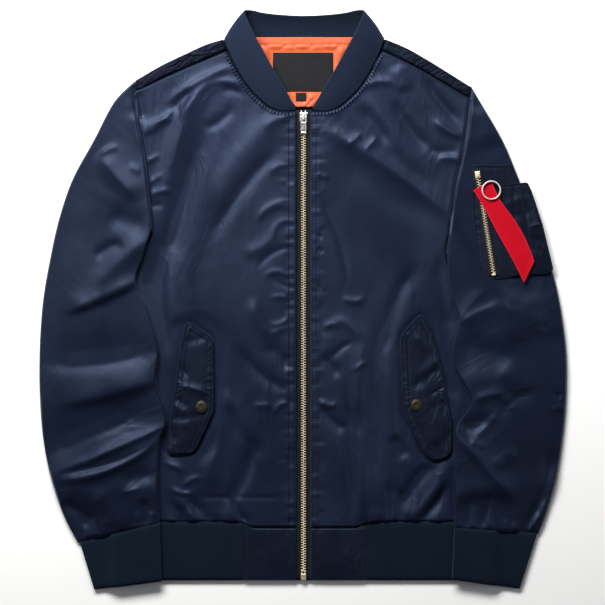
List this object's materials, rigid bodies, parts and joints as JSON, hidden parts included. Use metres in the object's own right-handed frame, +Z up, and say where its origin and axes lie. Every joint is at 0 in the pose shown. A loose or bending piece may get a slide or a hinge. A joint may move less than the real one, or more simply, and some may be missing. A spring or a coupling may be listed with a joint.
{
  "type": "bomber jacket laid flat",
  "caption": "Flight-style bomber jacket laid flat and zipped, with rib collar, cuffs and hem, flap pockets, a zipped sleeve pocket and a key ribbon.",
  "frame": {"origin": "on the surface the jacket lies on, in the middle of its footprint", "axes": "+X toward the wearer's left, +Y toward the collar, +Z up off the surface, out of the jacket's front"},
  "size_m": [0.6582, 0.7212, 0.0257],
  "materials": {
    "nylon": "satin navy nylon shell",
    "rib": "matte navy rib knit",
    "lining": "orange quilted taffeta",
    "label": "plain charcoal woven label",
    "zip_tape": "dark navy woven tape",
    "antique_brass": "aged brass teeth",
    "silver_metal": "bright nickel",
    "dark_snap": "oxidised dark brass",
    "ribbon": "red woven webbing"
  },
  "bodies": {
    "jacket": {"back": "nylon", "front_right": "nylon", "front_left": "nylon", "sleeve_right": "nylon", "sleeve_left": "nylon", "cuff_right": "rib", "cuff_left": "rib", "hem_end_right": "nylon", "hem_end_left": "nylon", "flap_right": "nylon", "flap_left": "nylon", "snap_right": "dark_snap", "snap_left": "dark_snap", "zip_tape_right": "zip_tape", "zip_tape_left": "zip_tape", "collar": "rib", "hem_rib": "rib", "lining": "lining", "neck_label": "label", "size_tab": "label", "zip_chain": "antique_brass", "zip_slider": "silver_metal", "sleeve_pocket": "nylon", "pen_pocket": "nylon", "pocket_zip": "antique_brass", "key_ribbon": "ribbon", "key_ring": "silver_metal"},
    "zip_pull": {"zip_pull": "silver_metal"}
  },
  "joints": [
    {"name": "zip_pull_hinge", "type": "hinge", "parent": "jacket", "child": "zip_pull", "pos_m": [0.0006, 0.228, 0.0099], "axis": [-1, 0, 0], "range_deg": [0, 165]}
  ]
}
